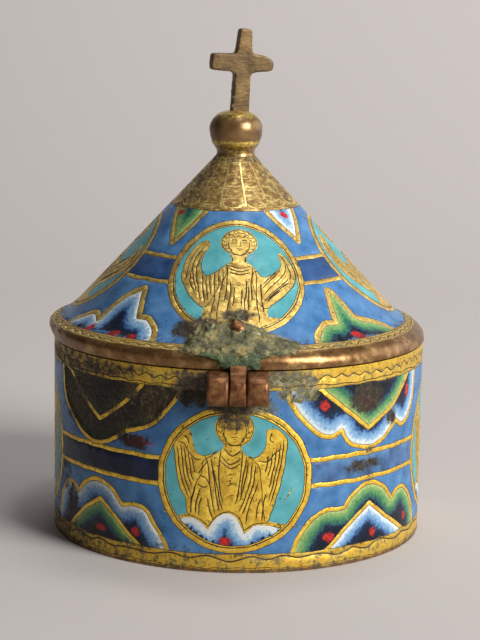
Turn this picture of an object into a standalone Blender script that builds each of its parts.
"""Enamelled copper pyx: a round box with a conical hinged lid, a ball knop and a cross.

Metres, +Z up. The origin is the centre of the box's underside, and the hinge is on the -Y side.
Azimuths are degrees round +Z from the hinge side, growing towards +X.
"""

from math import asin, cos, hypot, pi, radians, sin, tan

import bmesh
import bpy
from mathutils import Matrix, Vector

# Clearances and smoothness
SEAT_GAP = 0.0003
PIN_PLAY = 0.00008
WELD = 0.000002
TURN_STEPS = 96
SMALL_TURN_STEPS = 48
SHARP_ANGLE = radians(35)

# Box
BOX_RADIUS = 0.0335
BOX_WALL = 0.0016
BOX_HEIGHT = 0.0348
FLOOR_THICKNESS = 0.0015

# Cells in the wall that have lost their enamel
CELL_DEPTH = 0.0003
TOP_BAND = 0.0034
CLOUD_AZIMUTH = -42.0
CLOUD_TOP_HALF = 0.0130
CLOUD_CUSP_HALF = 0.0074
CLOUD_DROP = 0.0080
CLOUD_SIDE_BULGE = 0.0016
CLOUD_FOOT_BULGE = 0.0029
WEDGE_AZIMUTH = 42.0
WEDGE_TOP_HALF = 0.0062
WEDGE_TOP_DROP = 0.0055
WEDGE_DEPTH = 0.0046
PATCH_AZIMUTH = 44.5
PATCH_HALF_LENGTH = 0.0068
PATCH_HALF_HEIGHT = 0.0014
PATCH_HEIGHT = 0.0167

# Lid
LID_WALL = 0.0015
RIM_OVERHANG = 0.0004
RIM_LIP = 0.0002
RIM_STRAIGHT = 0.0008
RIM_HEIGHT = 0.00295
RIM_ROUND = 0.0016
FLARE_WIDTH = 0.0048
FLARE_LIFT = 0.0015
CONE_ANGLE = radians(42.9)
APEX_RADIUS = 0.00345
LID_SKEW = 0.0011

# Knop
KNOP_RADIUS = 0.00472
KNOP_BELLY_RISE = 0.0043
KNOP_CROWN = 0.0034
KNOP_UNDER = 0.0056
NECK_RADIUS = 0.0034
NECK_HEIGHT = 0.0006
COLLAR_RADIUS = 0.0043
COLLAR_RISE = 0.0020

# Cross
CROSS_HEIGHT = 0.0151
CROSS_THICKNESS = 0.0020
CROSS_SINK = 0.0006
CROSS_OFFSET = 0.0005
CROSS_EDGE = 0.0003
CROSS_LEAN = radians(3.4)
CROSS_TURN = radians(17)
STEM_FOOT_HALF = 0.00165
STEM_HALF = 0.0014
HEAD_HALF = 0.00115
ARM_RISE = 0.0090
ARM_ROOT_HALF = 0.00165
LEFT_ARM_LENGTH = 0.0060
LEFT_ARM_HALF = 0.0015
RIGHT_ARM_LENGTH = 0.0056
RIGHT_ARM_HALF = 0.0011

# Hinge
KNUCKLE_RADIUS = 0.00254
KNUCKLE_CLEARANCE = 0.0004
LID_KNUCKLE_WIDTH = 0.0026
BOX_KNUCKLE_WIDTH = 0.0034
LUG_HALF_HEIGHT = 0.0019
PIN_RADIUS = 0.0009
PIN_END = 0.0002
LEAF_THICKNESS = 0.0006
LEAF_HALF_WIDTH = 0.0081
LEAF_LEFT_RISE = 0.0060
LEAF_PEAK_RISE = 0.0074
LEAF_RIGHT_RISE = 0.0050
LEAF_FOOT_RISE = 0.0002
STRAP_INSET = 0.00005

# Heights and places that follow from the sizes above
LID_SEAT = BOX_HEIGHT + SEAT_GAP
LID_AXIS_X = -LID_SKEW
RIM_RADIUS = BOX_RADIUS + RIM_OVERHANG
SHOULDER_RADIUS = RIM_RADIUS - RIM_ROUND
SHOULDER_HEIGHT = LID_SEAT + RIM_HEIGHT
LID_TOP = SHOULDER_HEIGHT - FLARE_LIFT + (SHOULDER_RADIUS - APEX_RADIUS) / tan(CONE_ANGLE)
KNOP_FOOT = LID_TOP + SEAT_GAP
KNOP_BELLY = KNOP_FOOT + KNOP_BELLY_RISE
CROSS_FOOT = KNOP_BELLY + KNOP_CROWN - CROSS_SINK
PIN_Y = -(BOX_RADIUS + KNUCKLE_CLEARANCE + KNUCKLE_RADIUS)
PIN_Z = LID_SEAT - KNUCKLE_CLEARANCE - KNUCKLE_RADIUS
BORE_RADIUS = PIN_RADIUS + PIN_PLAY
BOX_KNUCKLE_X = LID_KNUCKLE_WIDTH / 2 + SEAT_GAP + BOX_KNUCKLE_WIDTH / 2


def clear_scene():
    for obj in list(bpy.data.objects):
        bpy.data.objects.remove(obj)


def collection(name):
    made = bpy.data.collections.new(name)
    bpy.context.scene.collection.children.link(made)
    return made


def material(name, colour, metallic, roughness):
    made = bpy.data.materials.new(name)
    made.use_nodes = True
    shader = made.node_tree.nodes["Principled BSDF"]
    shader.inputs["Base Color"].default_value = (*colour, 1)
    shader.inputs["Metallic"].default_value = metallic
    shader.inputs["Roughness"].default_value = roughness
    return made


def add(name, data, group, finish=None):
    obj = bpy.data.objects.new(name, data)
    group.objects.link(obj)
    if finish:
        data.materials.append(finish)
    return obj


def modifier(obj, kind, **settings):
    made = obj.modifiers.new(kind.title(), kind)
    for key, value in settings.items():
        setattr(made, key, value)
    return made


def smooth(mesh):
    mesh.shade_smooth()
    mesh.set_sharp_from_angle(angle=SHARP_ANGLE)


def baked(obj):
    """The object as a plain mesh, with its modifiers applied and a curve's caps welded."""
    graph = bpy.context.evaluated_depsgraph_get()
    mesh = bpy.data.meshes.new_from_object(obj.evaluated_get(graph))
    work = bmesh.new()
    work.from_mesh(mesh)
    bmesh.ops.remove_doubles(work, verts=work.verts, dist=WELD)
    bmesh.ops.recalc_face_normals(work, faces=work.faces)
    work.to_mesh(mesh)
    work.free()
    smooth(mesh)
    name, group, place = obj.name, obj.users_collection[0], obj.matrix_world.copy()
    bpy.data.objects.remove(obj)
    made = add(name, mesh, group)
    made.matrix_world = place
    return made


def turned(name, profile, group, finish=None, steps=TURN_STEPS, closed=False):
    """A profile of (radius, height) points, outer side top to bottom, swept round Z."""
    edges = [(i, i + 1) for i in range(len(profile) - 1)]
    if closed:
        edges.append((len(profile) - 1, 0))
    mesh = bpy.data.meshes.new(name)
    mesh.from_pydata([(radius, 0, height) for radius, height in profile], edges, [])
    obj = add(name, mesh, group, finish)
    modifier(obj, "SCREW", steps=steps, render_steps=steps, angle=2 * pi, use_merge_vertices=True,
             merge_threshold=WELD, use_smooth_shade=True)
    return obj


def flat(name, outline, thickness, group):
    """A flat outline in the X-Y plane as a plate, with Z through its thickness."""
    curve = bpy.data.curves.new(name, "CURVE")
    curve.dimensions = "2D"
    curve.fill_mode = "BOTH"
    curve.extrude = thickness / 2
    spline = curve.splines.new("POLY")
    spline.points.add(len(outline) - 1)
    for point, (x, y) in zip(spline.points, outline):
        point.co = (x, y, 0, 1)
    spline.use_cyclic_u = True
    return baked(add(name, curve, group))


def cylinder(name, radius, length, group, place=None, finish=None, steps=SMALL_TURN_STEPS):
    mesh = bpy.data.meshes.new(name)
    work = bmesh.new()
    bmesh.ops.create_cone(work, cap_ends=True, segments=steps, radius1=radius, radius2=radius,
                          depth=length)
    work.to_mesh(mesh)
    work.free()
    smooth(mesh)
    obj = add(name, mesh, group, finish)
    obj.matrix_world = place or Matrix()
    return obj


def box(name, size, place, group):
    mesh = bpy.data.meshes.new(name)
    work = bmesh.new()
    bmesh.ops.create_cube(work, size=1, matrix=Matrix.Diagonal((*size, 1)))
    work.to_mesh(mesh)
    work.free()
    obj = add(name, mesh, group)
    obj.matrix_world = place
    return obj


def cutter(obj):
    obj.hide_render = True
    obj.display_type = "WIRE"
    return obj


def combine(obj, operation, other):
    modifier(obj, "BOOLEAN", operation=operation, solver="EXACT", object=cutter(other))


def across(x, y, z):
    """A place whose Z axis runs along world X, for the hinge's turned pieces."""
    return Matrix.Translation((x, y, z)) @ Matrix.Rotation(pi / 2, 4, "Y")


def arc(start, end, bulge, steps=6):
    """Points from start up to end on an arc that stands out to the left of the way by bulge."""
    start, end = Vector(start), Vector(end)
    chord = end - start
    aside = Vector((-chord.y, chord.x)).normalized()
    return [start + chord * t + aside * bulge * sin(pi * t) for t in (i / steps for i in range(steps))]


def lost_cell(name, azimuth, outline, group):
    """A cutter CELL_DEPTH deep in the wall, from an outline of (arc length, height) points."""
    shape = [(BOX_RADIUS * sin(along / BOX_RADIUS), height) for along, height in outline]
    cell = flat(name, shape, BOX_RADIUS, group)
    facing = Matrix.Rotation(radians(azimuth), 4, "Z") @ Matrix.Rotation(pi / 2, 4, "X")
    cell.matrix_world = facing @ Matrix.Translation((0, 0, BOX_RADIUS))
    skin = [(BOX_RADIUS + SEAT_GAP, BOX_HEIGHT), (BOX_RADIUS + SEAT_GAP, 0),
            (BOX_RADIUS - CELL_DEPTH, 0), (BOX_RADIUS - CELL_DEPTH, BOX_HEIGHT)]
    combine(cell, "INTERSECT", turned(name + "_skin", skin, group, closed=True))
    return cell


def cloud_outline():
    top = BOX_HEIGHT - TOP_BAND
    cusp = top - CLOUD_DROP
    return [*arc((CLOUD_TOP_HALF, top), (-CLOUD_TOP_HALF, top), 0, 2),
            *arc((-CLOUD_TOP_HALF, top), (-CLOUD_CUSP_HALF, cusp), -CLOUD_SIDE_BULGE),
            *arc((-CLOUD_CUSP_HALF, cusp), (CLOUD_CUSP_HALF, cusp), -CLOUD_FOOT_BULGE),
            *arc((CLOUD_CUSP_HALF, cusp), (CLOUD_TOP_HALF, top), -CLOUD_SIDE_BULGE)]


def wedge_outline():
    top = BOX_HEIGHT - WEDGE_TOP_DROP
    return [(WEDGE_TOP_HALF, top), (-WEDGE_TOP_HALF, top), (0, top - WEDGE_DEPTH)]


def patch_outline():
    left, right = (-PATCH_HALF_LENGTH, PATCH_HEIGHT), (PATCH_HALF_LENGTH, PATCH_HEIGHT)
    return [*arc(left, right, -PATCH_HALF_HEIGHT), *arc(right, left, -PATCH_HALF_HEIGHT)]


def make_box(parts, cutters, enamel, gilt):
    inner = BOX_RADIUS - BOX_WALL
    wall = [(BOX_RADIUS, BOX_HEIGHT), (BOX_RADIUS, 0), (inner, 0), (inner, BOX_HEIGHT)]
    body = turned("box_wall", wall, parts, enamel, closed=True)
    cells = {"lost_cloud": (CLOUD_AZIMUTH, cloud_outline()),
             "lost_wedge": (WEDGE_AZIMUTH, wedge_outline()),
             "lost_patch": (PATCH_AZIMUTH, patch_outline())}
    for name, (azimuth, outline) in cells.items():
        combine(body, "DIFFERENCE", lost_cell(name, azimuth, outline, cutters))
    place = Matrix.Translation((0, 0, FLOOR_THICKNESS / 2))
    cylinder("box_floor", inner - SEAT_GAP, FLOOR_THICKNESS, parts, place, gilt, TURN_STEPS)


def lid_profile():
    """The lid's outer side from the apex's edge down to its lip, as (radius, height) points."""
    def cone(radius):
        flare = max(0, radius - (SHOULDER_RADIUS - FLARE_WIDTH)) / FLARE_WIDTH
        return LID_TOP - (radius - APEX_RADIUS) / tan(CONE_ANGLE) + FLARE_LIFT * flare**2

    flare_steps = 4
    radii = [APEX_RADIUS, (APEX_RADIUS + SHOULDER_RADIUS) / 2]
    radii += [SHOULDER_RADIUS - FLARE_WIDTH * (1 - i / flare_steps) for i in range(flare_steps)]
    points = [(radius, cone(radius)) for radius in radii]
    round_steps = 4
    round_height = RIM_HEIGHT - RIM_STRAIGHT
    for i in range(round_steps + 1):
        turn = pi / 2 * i / round_steps
        points.append((SHOULDER_RADIUS + RIM_ROUND * sin(turn),
                       SHOULDER_HEIGHT - round_height * (1 - cos(turn))))
    return points + [(RIM_RADIUS - RIM_LIP, LID_SEAT)]


def offset(points, distance):
    """A profile moved out by distance (in, where negative), its first and last point along Z and X."""
    moved = []
    for i, (radius, height) in enumerate(points):
        before = points[max(i - 1, 0)]
        after = points[min(i + 1, len(points) - 1)]
        sides = []
        for (r1, z1), (r2, z2) in ((before, (radius, height)), ((radius, height), after)):
            length = hypot(r2 - r1, z2 - z1)
            if length:
                sides.append(Vector(((z1 - z2) / length, (r2 - r1) / length)))
        normal = sum(sides, Vector((0, 0))).normalized()
        reach = distance / normal.dot(sides[0])
        moved.append((radius + normal.x * reach, height + normal.y * reach))
    return moved


def skewed(obj):
    """The piece with everything above its rim set over to the lid's own axis."""
    made = baked(obj)
    for vertex in made.data.vertices:
        t = min(max((vertex.co.z - LID_SEAT) / RIM_HEIGHT, 0), 1)
        vertex.co.x += LID_AXIS_X * t * t * (3 - 2 * t)
    return made


def make_lid(parts, enamel):
    outer = [(0, LID_TOP), *lid_profile()]
    inner = [(max(radius, 0), height) for radius, height in offset(outer, -LID_WALL)]
    inner[0] = (0, inner[0][1])
    inner[-1] = (outer[-1][0] - LID_WALL, LID_SEAT)
    lid = skewed(turned("lid_cone", outer + inner[::-1], parts))
    lid.data.materials.append(enamel)
    return lid


def cross_place():
    return (Matrix.Translation((LID_AXIS_X + CROSS_OFFSET, 0, CROSS_FOOT))
            @ Matrix.Rotation(CROSS_LEAN, 4, "Y") @ Matrix.Rotation(CROSS_TURN, 4, "Z"))


def make_knop(parts, cutters, copper):
    under = asin((KNOP_BELLY_RISE - COLLAR_RISE) / KNOP_UNDER)
    steps = 14
    profile = []
    for i in range(steps + 1):
        turn = pi / 2 - (pi / 2 + under) * i / steps
        rise = KNOP_CROWN if turn > 0 else KNOP_UNDER
        profile.append((KNOP_RADIUS * cos(turn) if i else 0, KNOP_BELLY + rise * sin(turn)))
    profile += [(COLLAR_RADIUS - SEAT_GAP / 2, KNOP_FOOT + COLLAR_RISE - SEAT_GAP / 2),
                (NECK_RADIUS, KNOP_FOOT + NECK_HEIGHT), (NECK_RADIUS, KNOP_FOOT), (0, KNOP_FOOT)]
    knop = turned("knop", profile, parts, copper, SMALL_TURN_STEPS)
    knop.location.x = LID_AXIS_X
    size = (2 * (STEM_FOOT_HALF + SEAT_GAP), CROSS_THICKNESS + 2 * SEAT_GAP, CROSS_HEIGHT)
    middle = Matrix.Translation((0, 0, CROSS_HEIGHT / 2 - SEAT_GAP))
    combine(knop, "DIFFERENCE", box("stem_pocket", size, cross_place() @ middle, cutters))
    return knop


def make_cross(parts, gilt):
    left = [(-HEAD_HALF, CROSS_HEIGHT), (-STEM_HALF, ARM_RISE + ARM_ROOT_HALF),
            (-LEFT_ARM_LENGTH, ARM_RISE + LEFT_ARM_HALF), (-LEFT_ARM_LENGTH, ARM_RISE - LEFT_ARM_HALF),
            (-STEM_HALF, ARM_RISE - ARM_ROOT_HALF), (-STEM_FOOT_HALF, 0)]
    right = [(STEM_FOOT_HALF, 0), (STEM_HALF, ARM_RISE - ARM_ROOT_HALF),
             (RIGHT_ARM_LENGTH, ARM_RISE - RIGHT_ARM_HALF), (RIGHT_ARM_LENGTH, ARM_RISE + RIGHT_ARM_HALF),
             (STEM_HALF, ARM_RISE + ARM_ROOT_HALF), (HEAD_HALF, CROSS_HEIGHT)]
    cross = flat("cross", left + right, CROSS_THICKNESS, parts)
    cross.data.materials.append(gilt)
    cross.matrix_world = cross_place() @ Matrix.Rotation(pi / 2, 4, "X")
    modifier(cross, "BEVEL", width=CROSS_EDGE, segments=2)
    return cross


def make_box_knuckle(side, parts, cutters, copper):
    """A folded barrel joined to the wall by its lug, and cut clear of the wall's curve."""
    name = "hinge_knuckle_" + ("left" if side < 0 else "right")
    x = side * BOX_KNUCKLE_X
    barrel = cylinder(name, KNUCKLE_RADIUS, BOX_KNUCKLE_WIDTH, parts, across(x, PIN_Y, PIN_Z), copper)
    reach = -PIN_Y - BOX_RADIUS * cos(radians(25))
    size = (BOX_KNUCKLE_WIDTH, reach, 2 * LUG_HALF_HEIGHT)
    place = Matrix.Translation((x, PIN_Y + reach / 2, PIN_Z))
    combine(barrel, "UNION", box(name + "_lug", size, place, cutters))
    wall = cylinder(name + "_wall", BOX_RADIUS + SEAT_GAP, 2 * BOX_HEIGHT, cutters, steps=TURN_STEPS)
    combine(barrel, "DIFFERENCE", wall)
    bore = cylinder(name + "_bore", BORE_RADIUS, 2 * BOX_KNUCKLE_WIDTH, cutters, across(x, PIN_Y, PIN_Z))
    combine(barrel, "DIFFERENCE", bore)


def make_leaf(parts, cutters, copper):
    """The lid's hinge leaf: a plate bent over the rim and up the cone, with the middle knuckle."""
    profile = offset(lid_profile(), SEAT_GAP + LEAF_THICKNESS)
    profile[-1] = (profile[-1][0], LID_SEAT + LEAF_FOOT_RISE)
    closed = profile + offset(lid_profile(), SEAT_GAP)[::-1]
    closed[-len(profile)] = (closed[-len(profile)][0], LID_SEAT + LEAF_FOOT_RISE)
    leaf = skewed(turned("hinge_leaf", closed, parts, closed=True))
    leaf.data.materials.append(copper)
    outline = [(-LEAF_HALF_WIDTH, 0), (LEAF_HALF_WIDTH, 0), (LEAF_HALF_WIDTH, LEAF_RIGHT_RISE),
               (0, LEAF_PEAK_RISE), (-LEAF_HALF_WIDTH, LEAF_LEFT_RISE)]
    trim = flat("leaf_trim", outline, BOX_RADIUS, cutters)
    trim.matrix_world = Matrix.Translation((0, -BOX_RADIUS, LID_SEAT)) @ Matrix.Rotation(pi / 2, 4, "X")
    combine(leaf, "INTERSECT", trim)
    outside = RIM_RADIUS + SEAT_GAP + LEAF_THICKNESS - STRAP_INSET
    thickness = LEAF_THICKNESS - 2 * STRAP_INSET
    height = RIM_STRAIGHT + LID_SEAT - PIN_Z
    strap_place = Matrix.Translation((0, thickness / 2 - outside, PIN_Z + height / 2))
    size = (LID_KNUCKLE_WIDTH, thickness, height)
    combine(leaf, "UNION", box("leaf_strap", size, strap_place, cutters))
    middle = across(0, PIN_Y, PIN_Z)
    combine(leaf, "UNION", cylinder("leaf_barrel", KNUCKLE_RADIUS, LID_KNUCKLE_WIDTH, cutters, middle))
    combine(leaf, "DIFFERENCE", cylinder("leaf_bore", BORE_RADIUS, 2 * LID_KNUCKLE_WIDTH, cutters, middle))
    return leaf


def main():
    clear_scene()
    parts = collection("pyx")
    cutters = collection("pyx_cutters")
    box_enamel = material("box_enamel", (0.07, 0.16, 0.42), 0.0, 0.3)
    lid_enamel = material("lid_enamel", (0.09, 0.20, 0.48), 0.0, 0.3)
    floor_gilt = material("floor_gilt", (0.55, 0.38, 0.13), 1.0, 0.45)
    knop_copper = material("knop_copper", (0.42, 0.22, 0.09), 1.0, 0.3)
    cross_gilt = material("cross_gilt", (0.44, 0.29, 0.12), 1.0, 0.4)
    hinge_copper = material("hinge_copper", (0.30, 0.15, 0.07), 1.0, 0.4)
    leaf_copper = material("leaf_copper", (0.30, 0.29, 0.21), 0.6, 0.6)
    pin_copper = material("pin_copper", (0.26, 0.15, 0.09), 1.0, 0.4)

    make_box(parts, cutters, box_enamel, floor_gilt)
    for side in (-1, 1):
        make_box_knuckle(side, parts, cutters, hinge_copper)
    pin_length = 2 * (BOX_KNUCKLE_X + BOX_KNUCKLE_WIDTH / 2 + PIN_END)
    cylinder("hinge_pin", PIN_RADIUS, pin_length, parts, across(0, PIN_Y, PIN_Z), pin_copper)

    lid_pieces = [make_lid(parts, lid_enamel), make_knop(parts, cutters, knop_copper),
                  make_cross(parts, cross_gilt), make_leaf(parts, cutters, leaf_copper)]
    pivot = add("lid_pivot", None, parts)
    pivot.location = (0, PIN_Y, PIN_Z)
    bpy.context.view_layer.update()
    for piece in lid_pieces:
        piece.parent = pivot
        piece.matrix_parent_inverse = pivot.matrix_world.inverted()


main()
